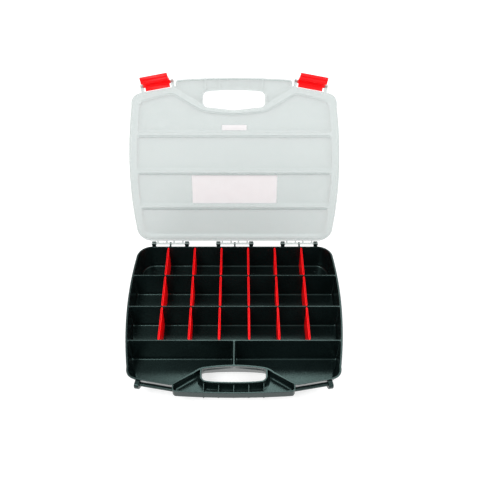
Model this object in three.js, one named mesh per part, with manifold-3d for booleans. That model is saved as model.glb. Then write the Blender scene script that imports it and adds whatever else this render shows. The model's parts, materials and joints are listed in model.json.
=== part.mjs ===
// Parts organizer: a moulded tray with lift-out dividers, a see-through lid on three clip hinges, and
// two latches on the lid's slanted front corners. Shown open, with the latches half swung out.
// Millimetres. X to the right, Y to the hinge side, Z up. Z 0 is the tray's flat underside.
import * as THREE from "three";
import { mergeVertices } from "three/addons/utils/BufferGeometryUtils.js";
import Module from "manifold-3d";

// tray
const rimZ = 55;
const floorZ = 2.4;
const backY = 160; // middle of the back wall's top edge
const wallBackY = backY + 1.4;
const halfWidth = 190;
const bulgeY = backY - 107; // where the bulged sides are widest
const bulgeRadius = 850;
const backCornerRadius = 28.5;
const rimWall = 2.6;
const scoop = 24; // how far the front wall leans back behind the hand hole

// rows and dividers
const rowPitch = 72;
const dividerPitch = 51;
const rowNames = ["back", "middle", "front"];
const dividersPerRow = 6;
const partitionHalf = 1.2;
const partitionZ = rimZ - 0.2;
const dividerThick = 1.6;
const beadThick = 3.6;
const beadHeight = 3.6;
const fit = 0.3; // gap between pieces that touch
const railThick = 1;
const railReach = 2.8;
const notchDepth = 4;

// front: hand hole, handle and the slanted corners that carry the latches
const holeHalf = 52;
const holeFrontY = backY - 295.5;
const handleFrontY = backY - 316;
const handleHalf = 98;
const handleDepth = 18;
const handleWall = 2.2;
const handleRibPitch = 24;
const slantOuter = new THREE.Vector2(155, backY - 291.5);
const slantInner = new THREE.Vector2(99, backY - 302);

// lid
const lidGap = 0.3;
const lidPlate = 2.4;
const lidEdge = 5;
const panelHeight = 8.7;
const panelInset = 14;
const panelRadius = 5;
const panelDraft = 1.5;
const lidHandleHeight = 10;
const lidOpen = THREE.MathUtils.degToRad(104);

// paper sheets inside the lid, placed by how far their middles are from the back wall
const labelSheet = { fromBack: 107.3, width: 155, depth: 57 };
const stickerSheet = { fromBack: 227.5, width: 42.6, depth: 9.4 };
const sheetThick = 0.4;

// hinges
const hingeY = wallBackY + 6;
const hingeZ = rimZ + 1.5;
const hingeSets = [-124, 0, 124];
const clipOffset = 31.6;
const clipWidth = 8;
const rodRadius = 2;
const clipInner = 2.35;
const clipOuter = 4.4;

// latches, in the slanted corner's section: out from the wall, and up from the rim
const latchPivot = new THREE.Vector2(8.2, 6);
const latchHalf = 23;
const tabHalf = 20.8;
const pinRadius = 1.7;
const pinHoleRadius = 2;
const lugInner = latchHalf + 0.6;
const lugOuter = 28.4;
const latchSwing = THREE.MathUtils.degToRad(45);

const wasm = await Module();
wasm.setup();

// --- helpers ---------------------------------------------------------------------------------

function solid(geometry) {
  const source = geometry.index ? geometry.toNonIndexed() : geometry;
  const bare = new THREE.BufferGeometry();
  bare.setAttribute("position", source.getAttribute("position"));
  const merged = mergeVertices(bare, 1e-4);
  const vertProperties = new Float32Array(merged.attributes.position.array);
  const triVerts = new Uint32Array(merged.index.array);
  return new wasm.Manifold(new wasm.Mesh({ numProp: 3, vertProperties, triVerts }));
}

function join(solids) {
  return solids.reduce((sum, next) => sum.add(next));
}

function geometryOf(manifold) {
  const made = manifold.getMesh();
  const geometry = new THREE.BufferGeometry();
  const position = new THREE.BufferAttribute(new Float32Array(made.vertProperties), made.numProp);
  geometry.setAttribute("position", position);
  geometry.setIndex(new THREE.BufferAttribute(new Uint32Array(made.triVerts), 1));
  const flat = geometry.toNonIndexed();
  flat.computeVertexNormals();
  return flat;
}

function box(low, high) {
  const size = new THREE.Vector3().subVectors(high, low);
  const middle = new THREE.Vector3().addVectors(low, high).multiplyScalar(0.5);
  return solid(new THREE.BoxGeometry(size.x, size.y, size.z).translate(middle.x, middle.y, middle.z));
}

function span(lowX, lowY, lowZ, highX, highY, highZ) {
  return box(new THREE.Vector3(lowX, lowY, lowZ), new THREE.Vector3(highX, highY, highZ));
}

function prism(points, lowZ, highZ) {
  const options = { depth: highZ - lowZ, bevelEnabled: false };
  return solid(new THREE.ExtrudeGeometry(new THREE.Shape(points), options).translate(0, 0, lowZ));
}

// A section drawn in (across, up) and run along X from one place to another.
function alongX(section, lowX, highX) {
  const options = { depth: highX - lowX, bevelEnabled: false };
  const geometry = new THREE.ExtrudeGeometry(new THREE.Shape(section), options);
  const turn = new THREE.Matrix4().makeBasis(
    new THREE.Vector3(0, 1, 0),
    new THREE.Vector3(0, 0, 1),
    new THREE.Vector3(1, 0, 0),
  );
  return solid(geometry.applyMatrix4(turn).translate(lowX, 0, 0));
}

function circle(middleX, middleY, radius, from = 0, to = 2 * Math.PI, steps = 24) {
  const whole = to - from >= 2 * Math.PI;
  return Array.from({ length: whole ? steps : steps + 1 }, (_, i) => {
    const angle = from + ((to - from) * i) / steps;
    return new THREE.Vector2(middleX + radius * Math.cos(angle), middleY + radius * Math.sin(angle));
  });
}

// Moves every side of an anticlockwise outline inwards by a distance.
function inset(points, distance) {
  const normal = (from, to) => new THREE.Vector2(from.y - to.y, to.x - from.x).normalize();
  return points.map((point, i) => {
    const before = normal(points[(i + points.length - 1) % points.length], point);
    const after = normal(point, points[(i + 1) % points.length]);
    const shift = before.clone().add(after).multiplyScalar(distance / (1 + before.dot(after)));
    return point.clone().add(shift);
  });
}

// A closed solid through outlines that all have the same number of points, from low to high.
function loft(levels) {
  const count = levels[0].points.length;
  const vertices = levels.flatMap(({ z, points }) => points.map((point) => [point.x, point.y, z]));
  const triangles = [];
  for (let level = 0; level + 1 < levels.length; level++) {
    for (let i = 0; i < count; i++) {
      const next = (i + 1) % count;
      const low = level * count;
      const high = low + count;
      triangles.push([low + i, low + next, high + next], [low + i, high + next, high + i]);
    }
  }
  const top = (levels.length - 1) * count;
  THREE.ShapeUtils.triangulateShape(levels[0].points, []).forEach(([a, b, c]) => triangles.push([a, c, b]));
  THREE.ShapeUtils.triangulateShape(levels.at(-1).points, []).forEach(([a, b, c]) =>
    triangles.push([top + a, top + b, top + c]),
  );
  const geometry = new THREE.BufferGeometry();
  const position = triangles.flat().flatMap((index) => vertices[index]);
  geometry.setAttribute("position", new THREE.BufferAttribute(new Float32Array(position), 3));
  return solid(geometry);
}

function mirrored(rightHalf) {
  const left = rightHalf
    .filter((point) => point.x > 0)
    .map((point) => new THREE.Vector2(-point.x, point.y))
    .reverse();
  return [...rightHalf, ...left];
}

// --- outlines --------------------------------------------------------------------------------

function sideX(y) {
  return halfWidth - (y - bulgeY) ** 2 / (2 * bulgeRadius);
}

// The tray's rim: an arc behind the hand hole, a straight run out to each slanted corner, the slanted
// corner itself, a bulged side and a round back corner.
function trayOutline() {
  const points = [];
  for (let x = 0; x <= 50; x += 10) {
    points.push(new THREE.Vector2(x, backY - 267 - 4.5 * (x / 50) ** 2));
  }
  points.push(new THREE.Vector2(61, backY - 278));
  points.push(slantInner.clone());
  points.push(slantOuter.clone());
  const sideStart = new THREE.Vector2(sideX(backY - 272), backY - 272);
  const corner = new THREE.Vector2(sideStart.x + 0.5, backY - 287.5);
  const frontCorner = new THREE.QuadraticBezierCurve(slantOuter, corner, sideStart);
  points.push(...frontCorner.getPoints(5).slice(1));
  const sideEndY = wallBackY - backCornerRadius;
  const sideSteps = 12;
  for (let i = 1; i < sideSteps; i++) {
    const y = sideStart.y + ((sideEndY - sideStart.y) * i) / sideSteps;
    points.push(new THREE.Vector2(sideX(y), y));
  }
  const cornerX = sideX(sideEndY) - backCornerRadius;
  points.push(...circle(cornerX, sideEndY, backCornerRadius, 0, Math.PI / 2, 8));
  return mirrored(points);
}

// Leans the front wall back behind the hand hole, by a share of the full scoop.
function scooped(points, share) {
  return points.map((point) => {
    const besideHole = 1 - THREE.MathUtils.smoothstep(Math.abs(point.x), 50, 97);
    const atFront = point.y < backY - 255 ? 1 : 0;
    return new THREE.Vector2(point.x, point.y + scoop * share * besideHole * atFront);
  });
}

function handleOutline() {
  const points = [];
  for (let x = 0; x < 90; x += 15) {
    points.push(new THREE.Vector2(x, handleFrontY + 3.5 * (x / handleHalf) ** 2));
  }
  points.push(...circle(handleHalf - 4, handleFrontY + 8, 4, -Math.PI / 2.4, 0, 4));
  points.push(new THREE.Vector2(handleHalf, backY - 296));
  points.push(new THREE.Vector2(60, backY - 272));
  points.push(new THREE.Vector2(48, backY - 262));
  return mirrored(points);
}

function holeOutline() {
  const points = [];
  for (let x = 0; x <= 36; x += 12) {
    points.push(new THREE.Vector2(x, holeFrontY + 1.5 * (x / 40) ** 2));
  }
  points.push(...circle(holeHalf - 10, holeFrontY + 12, 10, -Math.PI / 2.6, 0, 5));
  points.push(new THREE.Vector2(holeHalf, backY - 276));
  points.push(...circle(holeHalf - 8, backY - 272, 8, 0, Math.PI / 2, 4));
  points.push(new THREE.Vector2(0, backY - 260));
  return mirrored(points);
}

const outline = trayOutline();

// Places something built about the right slanted corner: X runs along the corner from its middle
// towards the handle, Y points back into the tray, Z is up from the rim.
function slantFrame() {
  const along = new THREE.Vector2().subVectors(slantInner, slantOuter).normalize();
  const middle = new THREE.Vector2().addVectors(slantInner, slantOuter).multiplyScalar(0.5);
  return new THREE.Matrix4()
    .makeBasis(
      new THREE.Vector3(-along.x, -along.y, 0),
      new THREE.Vector3(along.y, -along.x, 0),
      new THREE.Vector3(0, 0, 1),
    )
    .setPosition(middle.x, middle.y, rimZ);
}

// A section given as (out from the wall, up from the rim), run along the slanted corner.
function alongSlant(section, low, high) {
  return alongX(section.map((point) => new THREE.Vector2(-point.x, point.y)).reverse(), low, high);
}

function onSlant(manifold) {
  return manifold.transform(slantFrame().elements);
}

function bothSides(manifold) {
  return manifold.add(manifold.mirror([1, 0, 0]));
}

function pointsOf(pairs) {
  return pairs.map(([x, y]) => new THREE.Vector2(x, y));
}

// --- tray ------------------------------------------------------------------------------------

function trayShell(insets, shareBelow = 1) {
  return loft(
    insets.map(([z, distance]) => ({
      z,
      points: scooped(inset(outline, distance), shareBelow * Math.max(0, 1 - z / rimZ)),
    })),
  );
}

function trayOuter() {
  return trayShell([
    [0, 4.6],
    [1.2, 2.8],
    [4, 2],
    [47.5, 1],
    [48.5, 0],
    [rimZ, 0],
  ]);
}

function trayHollow() {
  return trayShell([
    [floorZ, 5],
    [floorZ + 1.2, 3.6],
    [floorZ + 4.6, 3.2],
    [rimZ, rimWall],
    [rimZ + 1, rimWall],
  ]);
}

// The tray without its hollow, a little inside the outer face: what is built in must stay within it.
function trayCore() {
  return trayShell([
    [0.8, 4.6],
    [4, 2.8],
    [rimZ, 1.6],
    [rimZ + 1, 1.6],
  ]);
}

// A wall across the tray, thicker at its foot.
function partition(y) {
  const halves = [
    [floorZ - 0.6, partitionHalf + 2.7],
    [floorZ + 1.2, partitionHalf + 1.1],
    [floorZ + 4.6, partitionHalf + 0.4],
    [partitionZ, partitionHalf],
  ];
  return loft(
    halves.map(([z, half]) => ({
      z,
      points: pointsOf([[-halfWidth, y - half], [halfWidth, y - half], [halfWidth, y + half], [-halfWidth, y + half]]),
    })),
  );
}

function dividerX(column) {
  return (column - (dividersPerRow - 1) / 2) * dividerPitch;
}

// The upright rails on both faces of a wall that hold the ends of the dividers.
function rails(y) {
  const offset = dividerThick / 2 + fit + railThick / 2;
  const made = [];
  for (let column = 0; column < dividersPerRow; column++) {
    for (const side of [-1, 1]) {
      const x = dividerX(column) + side * offset;
      const half = railThick / 2;
      made.push(span(x - half, y - railReach, floorZ - 0.6, x + half, y + railReach, rimZ - notchDepth));
    }
  }
  return join(made);
}

function notches(y) {
  const half = dividerThick / 2 + fit;
  const made = [];
  for (let column = 0; column < dividersPerRow; column++) {
    const x = dividerX(column);
    made.push(span(x - half, y - railReach, rimZ - notchDepth, x + half, y + railReach, rimZ + 1));
  }
  return join(made);
}

function centrePartition() {
  const frontY = backY - 275;
  const rearY = backY - 3 * rowPitch;
  const halves = [
    [floorZ - 0.6, 3],
    [floorZ + 1.2, 2],
    [floorZ + 4.6, 1.6],
    [partitionZ, partitionHalf],
  ];
  return loft(
    halves.map(([z, half]) => ({
      z,
      points: pointsOf([[-half, frontY], [half, frontY], [half, rearY], [-half, rearY]]),
    })),
  );
}

function floorButton(x) {
  return prism(circle(x, backY - 15, 4.5, 0, 2 * Math.PI, 20), floorZ - 0.6, floorZ + 1.4);
}

function partitions() {
  const rows = [1, 2, 3].map((row) => backY - row * rowPitch);
  const walls = [...rows.map(partition), ...rows.map(rails), rails(backY), centrePartition()];
  const buttons = [floorButton(-158), floorButton(158)];
  const cuts = rows.slice(0, 2).map(notches);
  return join([...walls, ...buttons]).subtract(join(cuts));
}

function handleRibs(lowZ, highZ) {
  const made = [];
  for (let i = -2; i <= 2; i++) {
    const x = i * handleRibPitch;
    made.push(span(x - 0.8, handleFrontY, lowZ, x + 0.8, holeFrontY + 1, highZ));
  }
  return join(made);
}

// The handle is a trough, open upwards, with five ribs and a wall round the hand hole.
function handleTrough(outer) {
  const bottom = rimZ - handleDepth;
  const block = loft([
    { z: bottom, points: inset(handleOutline(), 3) },
    { z: bottom + 2.5, points: inset(handleOutline(), 0.8) },
    { z: rimZ - 0.3, points: handleOutline() },
  ]);
  const holeWall = prism(inset(holeOutline(), -handleWall), bottom, rimZ + 2);
  const trough = prism(inset(handleOutline(), handleWall), bottom + handleWall, rimZ + 2)
    .subtract(holeWall)
    .subtract(handleRibs(bottom, rimZ - 3));
  const hole = prism(holeOutline(), bottom - 1, rimZ + 1);
  return block.subtract(trough.subtract(outer)).subtract(hole.subtract(outer));
}

// The bar that the latch's hook snaps under, and the ear that guards the latch's outer end.
function catchBar() {
  const section = pointsOf([
    [-1.5, -13],
    [3.5, -11],
    [5, -10.4],
    [5.5, -9],
    [5.5, -6.5],
    [4.6, -5],
    [3, -5],
    [2.4, -7.4],
    [-1.5, -7.4],
  ]);
  const earSection = pointsOf([
    [-6, -22],
    [3, -19],
    [8, -15.5],
    [10, -11],
    [10, -6],
    [8, -3],
    [-3, -2],
  ]);
  const bar = alongSlant(section, -22, 22);
  const ear = alongSlant(earSection, lugInner, lugOuter + 3);
  const guard = alongSlant(section, -27, -21.5);
  return onSlant(join([bar, ear, guard, alongSlant(section, 21.5, lugInner + 1)]));
}

function hingeClip(x) {
  const open = Math.PI / 3.4;
  const mouth = Math.PI / 2;
  const ring = [
    ...circle(hingeY, hingeZ, clipOuter, mouth + open, mouth + 2 * Math.PI - open, 22),
    ...circle(hingeY, hingeZ, clipInner, mouth + open, mouth + 2 * Math.PI - open, 22).reverse(),
  ];
  const bracket = pointsOf([
    [wallBackY - 2, hingeZ - 16],
    [wallBackY, hingeZ - 16],
    [hingeY + 2.5, hingeZ - 4],
    [hingeY - 2.4, hingeZ - 2.9],
    [wallBackY - 2, hingeZ - 2],
  ]);
  const low = x - clipWidth / 2;
  const high = x + clipWidth / 2;
  return alongX(ring, low, high).add(alongX(bracket, low, high));
}

// A thin rib that the lid's hinge rod rests on, midway between the clips.
function hingeCradle(x) {
  const section = [
    ...circle(hingeY, hingeZ, clipInner, Math.PI, 2 * Math.PI, 12).reverse(),
    ...pointsOf([
      [wallBackY - 2, hingeZ - 2],
      [wallBackY - 2, hingeZ - 16],
      [wallBackY, hingeZ - 16],
      [hingeY + 3, hingeZ - 5],
      [hingeY + 4.4, hingeZ - 2],
      [hingeY + 4.4, hingeZ],
    ]),
  ];
  return alongX(section, x - 1.5, x + 1.5);
}

function hingeKnuckles() {
  return join(
    hingeSets.flatMap((x) => [hingeClip(x - clipOffset), hingeCradle(x), hingeClip(x + clipOffset)]),
  );
}

function baseTray() {
  const outer = trayOuter();
  const shell = outer.add(handleTrough(outer)).subtract(trayHollow());
  const inside = partitions().intersect(trayCore());
  return join([shell, inside, bothSides(catchBar()), hingeKnuckles()]);
}

// --- dividers --------------------------------------------------------------------------------

// A lift-out divider: a thin plate with a thicker bead along its top, standing across one row.
function divider(row, column) {
  const x = dividerX(column);
  const rear = backY - row * rowPitch;
  const front = rear - rowPitch;
  const edge = partitionHalf + fit;
  const ends = [
    [edge + 2.8, floorZ + fit],
    [edge + 1.3, floorZ + 1.4],
    [edge + 0.6, floorZ + 5],
    [edge, rimZ - 0.5],
  ];
  const plate = [
    ...ends.map(([reach, z]) => [rear - reach, z]),
    ...ends.map(([reach, z]) => [front + reach, z]).reverse(),
  ];
  const reach = railReach + 0.6;
  const bead = pointsOf([
    [x - beadThick / 2 + 0.5, rimZ - 0.5 - beadHeight],
    [x + beadThick / 2 - 0.5, rimZ - 0.5 - beadHeight],
    [x + beadThick / 2, rimZ - beadHeight + 0.2],
    [x + beadThick / 2, rimZ - 1.2],
    [x + beadThick / 2 - 0.6, rimZ - 0.5],
    [x - beadThick / 2 + 0.6, rimZ - 0.5],
    [x - beadThick / 2, rimZ - 1.2],
    [x - beadThick / 2, rimZ - beadHeight + 0.2],
  ]);
  const sheet = alongX(pointsOf(plate), x - dividerThick / 2, x + dividerThick / 2);
  const roll = alongY(bead, front + reach, rear - reach);
  return sheet.add(roll);
}

// A section drawn in (X, Z) and run along Y from one place to another.
function alongY(section, lowY, highY) {
  const options = { depth: highY - lowY, bevelEnabled: false };
  const geometry = new THREE.ExtrudeGeometry(new THREE.Shape(section), options);
  const turn = new THREE.Matrix4().makeBasis(
    new THREE.Vector3(1, 0, 0),
    new THREE.Vector3(0, 0, 1),
    new THREE.Vector3(0, -1, 0),
  );
  return solid(geometry.applyMatrix4(turn).translate(0, highY, 0));
}

// --- lid, drawn closed on the tray -----------------------------------------------------------

const lidZ = rimZ + lidGap;
const panelUnderside = lidZ + panelHeight - lidPlate + 0.2;

function lidShell(insets, lift = 0) {
  return loft(insets.map(([height, distance]) => ({ z: lidZ + lift + height, points: inset(outline, distance) })));
}

// One raised panel of the lid, over one row, with round corners. The front one follows the tray's
// front wall; the back one has the tray's wide back corners.
function panelOutline(row) {
  const rear = row === 0 ? backY - 9 : backY - row * rowPitch - 4;
  const rearRadius = row === 0 ? backCornerRadius - panelInset : panelRadius;
  const points = [];
  let sideFront = backY - (row + 1) * rowPitch + 4 + panelRadius;
  if (row < 3) {
    const y = sideFront - panelRadius;
    points.push(new THREE.Vector2(0, y));
    const x = sideX(sideFront) - panelInset - panelRadius;
    points.push(...circle(x, sideFront, panelRadius, -Math.PI / 2, 0, 4));
  } else {
    sideFront = backY - 262;
    const slantEnds = [104, backY - 288.5, 151, backY - 277.5];
    points.push(new THREE.Vector2(0, backY - 253), new THREE.Vector2(25, backY - 254.1));
    points.push(new THREE.Vector2(50, backY - 257.5), new THREE.Vector2(68.5, backY - 266));
    points.push(new THREE.Vector2(slantEnds[0] - 4, slantEnds[1] + 2), new THREE.Vector2(slantEnds[0] + 4, slantEnds[1] + 1));
    const from = new THREE.Vector2(slantEnds[2], slantEnds[3]);
    const to = new THREE.Vector2(sideX(sideFront) - panelInset, sideFront);
    points.push(...new THREE.QuadraticBezierCurve(from, new THREE.Vector2(to.x, from.y + 3), to).getPoints(4));
  }
  const sideRear = rear - rearRadius;
  for (let i = 1; i < 4; i++) {
    const y = sideFront + ((sideRear - sideFront) * i) / 4;
    points.push(new THREE.Vector2(sideX(y) - panelInset, y));
  }
  points.push(...circle(sideX(sideRear) - panelInset - rearRadius, sideRear, rearRadius, 0, Math.PI / 2, 5));
  points.push(new THREE.Vector2(0, rear));
  return mirrored(points);
}

// The four panels with drafted sides, grown outwards by a distance.
function panels(grow, lowZ, highZ) {
  const made = [0, 1, 2, 3].map((row) =>
    loft([
      { z: lowZ, points: inset(panelOutline(row), -grow) },
      { z: highZ, points: inset(panelOutline(row), panelDraft - grow) },
    ]),
  );
  return join(made);
}

function lidHandle() {
  const top = lidZ + lidHandleHeight;
  const block = loft([
    { z: lidZ + 0.2, points: handleOutline() },
    { z: top - 3, points: inset(handleOutline(), 0.6) },
    { z: top, points: inset(handleOutline(), 3) },
  ]);
  const hollow = prism(inset(handleOutline(), handleWall), lidZ - 1, top - handleWall)
    .subtract(prism(inset(holeOutline(), -handleWall), lidZ - 2, top))
    .subtract(handleRibs(lidZ + 2, top));
  return { block, hollow };
}

// The pair of lugs that hold a latch's pins.
function latchLugs() {
  const section = pointsOf([
    [-3, lidGap + 0.2],
    [8, lidGap + 0.2],
    [11.4, 2.6],
    [12.2, 6],
    [11.2, 9],
    [8.2, 10.2],
    [5, 9.4],
    [1, 6],
    [-3, 6],
  ]);
  const hole = alongSlant(circle(latchPivot.x, latchPivot.y, pinHoleRadius), -lugOuter - 1, lugOuter + 1);
  const lugs = alongSlant(section, -lugOuter, -lugInner).add(alongSlant(section, lugInner, lugOuter));
  return { lugs: onSlant(lugs), holes: onSlant(hole) };
}

function hingeRod(x) {
  const reach = clipOffset + 5.5;
  const rod = alongX(circle(hingeY, hingeZ, rodRadius), x - reach, x + reach);
  const web = pointsOf([
    [wallBackY - 3, lidZ],
    [hingeY - 0.6, lidZ],
    [hingeY + 1.2, hingeZ],
    [hingeY - 0.6, hingeZ + 1.8],
    [wallBackY - 3, lidZ + 4],
  ]);
  const webs = [-24, -7, 7, 24].map((offset) => alongX(web, x + offset - 1.6, x + offset + 1.6));
  return join([rod, ...webs]);
}

function closedLid() {
  const plate = lidShell([
    [0, 0.5],
    [lidPlate, 0.5],
  ]);
  const edgeOuter = lidShell([
    [0, 0.5],
    [lidEdge - 1, 0.8],
    [lidEdge, 1.6],
  ]);
  const edgeInner = lidShell([
    [lidPlate - 0.5, 3],
    [lidEdge + 1, 2.8],
  ]);
  const handle = lidHandle();
  const { lugs, holes } = latchLugs();
  const raised = panels(1.7, lidZ + 0.4, lidZ + panelHeight);
  const recess = panels(0, lidZ - 1, panelUnderside);
  const hole = prism(holeOutline(), lidZ - 3, lidZ + lidHandleHeight + 3);
  const wall = prism(inset(holeOutline(), -handleWall), lidZ + 0.2, lidZ + lidHandleHeight - 1);
  const shell = join([plate, edgeOuter.subtract(edgeInner), handle.block, wall, bothSides(lugs)]);
  return shell
    .subtract(handle.hollow.subtract(plate))
    .add(raised)
    .subtract(recess)
    .subtract(hole)
    .subtract(bothSides(holes))
    .add(join(hingeSets.map(hingeRod)));
}

// --- latch, drawn closed: hooked under the catch bar, pivoting in the lid's lugs ---------------

function closedLatch() {
  const { x: pivotOut, y: pivotUp } = latchPivot;
  const leaf = pointsOf([
    [pivotOut - 1.8, pivotUp + 1],
    [6.3, 0],
    [6.3, -11.4],
    [2.6, -11.6],
    [2.2, -12.6],
    [4, -14.6],
    [6.3, -15.4],
    [7, -18],
    [11.4, -19.4],
    [11.8, -18],
    [9.2, -15.6],
    [9.2, 4],
    [pivotOut + 2.6, pivotUp + 1],
  ]);
  const tab = pointsOf([
    [pivotOut + 1, pivotUp + 2.6],
    [pivotOut - 7.2, pivotUp + 4.4],
    [pivotOut - 8, pivotUp + 3.4],
    [pivotOut - 7.6, pivotUp + 2.4],
    [pivotOut, pivotUp - 0.4],
  ]);
  const barrel = alongSlant(circle(pivotOut, pivotUp, 2.8), -latchHalf, latchHalf);
  const pins = alongSlant(circle(pivotOut, pivotUp, pinRadius), -lugOuter + 0.6, lugOuter - 0.6);
  return join([
    alongSlant(leaf, -latchHalf, latchHalf),
    alongSlant(tab, -tabHalf, tabHalf),
    barrel,
    pins,
  ]);
}

// --- paper sheets on the panels' undersides --------------------------------------------------

function sheetUnderPanel(sheet) {
  const middle = backY - sheet.fromBack;
  const high = panelUnderside - fit;
  const low = high - sheetThick;
  return span(-sheet.width / 2, middle - sheet.depth / 2, low, sheet.width / 2, middle + sheet.depth / 2, high);
}

// --- assembly --------------------------------------------------------------------------------

const blackPlastic = { color: 0x1b2222, roughness: 0.42, metalness: 0 };
const clearPlastic = { color: 0xdbe5e2, roughness: 0.3, metalness: 0, transparent: true, opacity: 0.6 };
const redPlastic = { color: 0xf5121c, roughness: 0.38, metalness: 0 };
const paper = { color: 0xf4eef0, roughness: 0.7, metalness: 0 };

function part(name, manifold, look) {
  const made = new THREE.Mesh(geometryOf(manifold), new THREE.MeshStandardMaterial(look));
  made.name = name;
  return made;
}

// Turns what is inside the group about a line through a point.
function turned(point, axis, angle) {
  const group = new THREE.Group();
  const turn = new THREE.Matrix4().makeRotationAxis(axis, angle);
  const there = new THREE.Matrix4().makeTranslation(point);
  const back = new THREE.Matrix4().makeTranslation(point.clone().negate());
  group.applyMatrix4(there.multiply(turn).multiply(back));
  return group;
}

function latchGroup(name, side) {
  const frame = slantFrame();
  const pivot = new THREE.Vector3(0, -latchPivot.x, latchPivot.y).applyMatrix4(frame);
  const axis = new THREE.Vector3(1, 0, 0).transformDirection(frame);
  const shape = onSlant(closedLatch());
  pivot.x *= side;
  axis.y *= side;
  const group = turned(pivot, axis, -latchSwing);
  group.add(part(name, side < 0 ? shape.mirror([1, 0, 0]) : shape, redPlastic));
  return group;
}

const organizer = new THREE.Group();
organizer.add(part("base_tray", baseTray(), blackPlastic));
rowNames.forEach((rowName, row) => {
  for (let column = 0; column < dividersPerRow; column++) {
    organizer.add(part(`divider_${rowName}_${column + 1}`, divider(row, column), redPlastic));
  }
});
const lidGroup = turned(new THREE.Vector3(0, hingeY, hingeZ), new THREE.Vector3(1, 0, 0), -lidOpen);
lidGroup.add(part("lid", closedLid(), clearPlastic));
lidGroup.add(part("contents_label", sheetUnderPanel(labelSheet), paper));
lidGroup.add(part("small_sticker", sheetUnderPanel(stickerSheet), paper));
lidGroup.add(latchGroup("latch_left", -1));
lidGroup.add(latchGroup("latch_right", 1));
organizer.add(lidGroup);

export default organizer;
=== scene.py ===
import json
import math
import bmesh
import bpy
from mathutils import Matrix, Vector


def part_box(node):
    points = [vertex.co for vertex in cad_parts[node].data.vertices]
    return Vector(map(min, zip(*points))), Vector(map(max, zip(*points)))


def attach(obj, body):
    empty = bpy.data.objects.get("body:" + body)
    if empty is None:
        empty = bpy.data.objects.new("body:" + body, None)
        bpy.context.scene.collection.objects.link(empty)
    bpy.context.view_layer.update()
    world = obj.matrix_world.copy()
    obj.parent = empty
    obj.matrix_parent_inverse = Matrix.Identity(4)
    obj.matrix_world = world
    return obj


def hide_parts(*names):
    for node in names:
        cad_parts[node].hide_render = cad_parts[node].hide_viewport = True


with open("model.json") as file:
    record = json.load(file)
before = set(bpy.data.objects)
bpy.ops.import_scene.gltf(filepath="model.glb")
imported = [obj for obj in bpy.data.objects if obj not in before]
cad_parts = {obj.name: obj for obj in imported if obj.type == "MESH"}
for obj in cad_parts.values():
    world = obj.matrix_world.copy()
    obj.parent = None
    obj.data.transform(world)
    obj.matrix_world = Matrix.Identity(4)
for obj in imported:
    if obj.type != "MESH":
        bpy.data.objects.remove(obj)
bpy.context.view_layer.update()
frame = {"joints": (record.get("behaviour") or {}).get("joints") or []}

# Lengths are millimetres until a mesh is made. X right, Y towards the hinges, Z up.
mm = 0.001
trayLow, trayHigh = [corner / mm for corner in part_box("base_tray")]
lidHinge = next(j for j in frame["joints"] if j["name"] == "lid_hinge")
hingePoint = Vector(lidHinge["pos_m"]) / mm
lidTurn = math.radians(lidHinge["range_deg"][0])

caseSize = {
    "rimZ": hingePoint.z - 1.5,
    "backY": hingePoint.y - 7.4,  # middle of the back wall's top edge
    "wallBack": 1.4,  # the outer face stands this far behind it
    "halfWidth": trayHigh.x,
    "bulgeFromBack": 107,
    "bulgeRadius": 850,
    "backCorner": 28.5,
    "slantInner": (99, 302),
    "slantOuter": (155, 291.5),
    "rowPitch": 72,
    "dividerPitch": 51,
    "dividersPerRow": 6,
}
rimZ = caseSize["rimZ"]
backY = caseSize["backY"]
wallBackY = backY + caseSize["wallBack"]
bulgeY = backY - caseSize["bulgeFromBack"]
rowPitch = caseSize["rowPitch"]
frontLean = 24  # how far the foot of the front wall stands behind its top


# ---------- outlines, as lists of (x, y)

def arc(x, y, radius, start, end, steps):
    angles = [start + (end - start) * i / steps for i in range(steps + 1)]
    return [(x + radius * math.cos(a), y + radius * math.sin(a)) for a in angles]


def bezier(a, b, c, steps):
    def at(t):
        u = 1 - t
        return tuple(u * u * a[k] + 2 * u * t * b[k] + t * t * c[k] for k in (0, 1))
    return [at(i / steps) for i in range(steps + 1)]


def smoothStep(value, low, high):
    t = min(1, max(0, (value - low) / (high - low)))
    return t * t * (3 - 2 * t)


# Moves each side of an anticlockwise outline inwards.
def inset(points, distance):
    made = []
    for i, point in enumerate(points):
        before, after = points[i - 1], points[(i + 1) % len(points)]
        a = Vector((before[1] - point[1], point[0] - before[0])).normalized()
        b = Vector((point[1] - after[1], after[0] - point[0])).normalized()
        shift = (a + b) * (distance / max(0.3, 1 + a.dot(b)))
        made.append((point[0] + shift.x, point[1] + shift.y))
    return made


# Rounds the corners of a closed outline.
def rounded(points, radius, steps=4):
    made = []
    for i, point in enumerate(points):
        p = Vector(point)
        a = Vector(points[i - 1]) - p
        b = Vector(points[(i + 1) % len(points)]) - p
        reach = min(radius, a.length * 0.45, b.length * 0.45)
        start, end = p + a.normalized() * reach, p + b.normalized() * reach
        made += bezier(start, p, end, steps)
    return made


def mirrored(rightHalf):
    return rightHalf + [(-x, y) for x, y in reversed(rightHalf) if x > 1e-6]


def sideX(y):
    return caseSize["halfWidth"] - (y - bulgeY) ** 2 / (2 * caseSize["bulgeRadius"])


def fromBack(x, distance):
    return (x, backY - distance)


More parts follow.
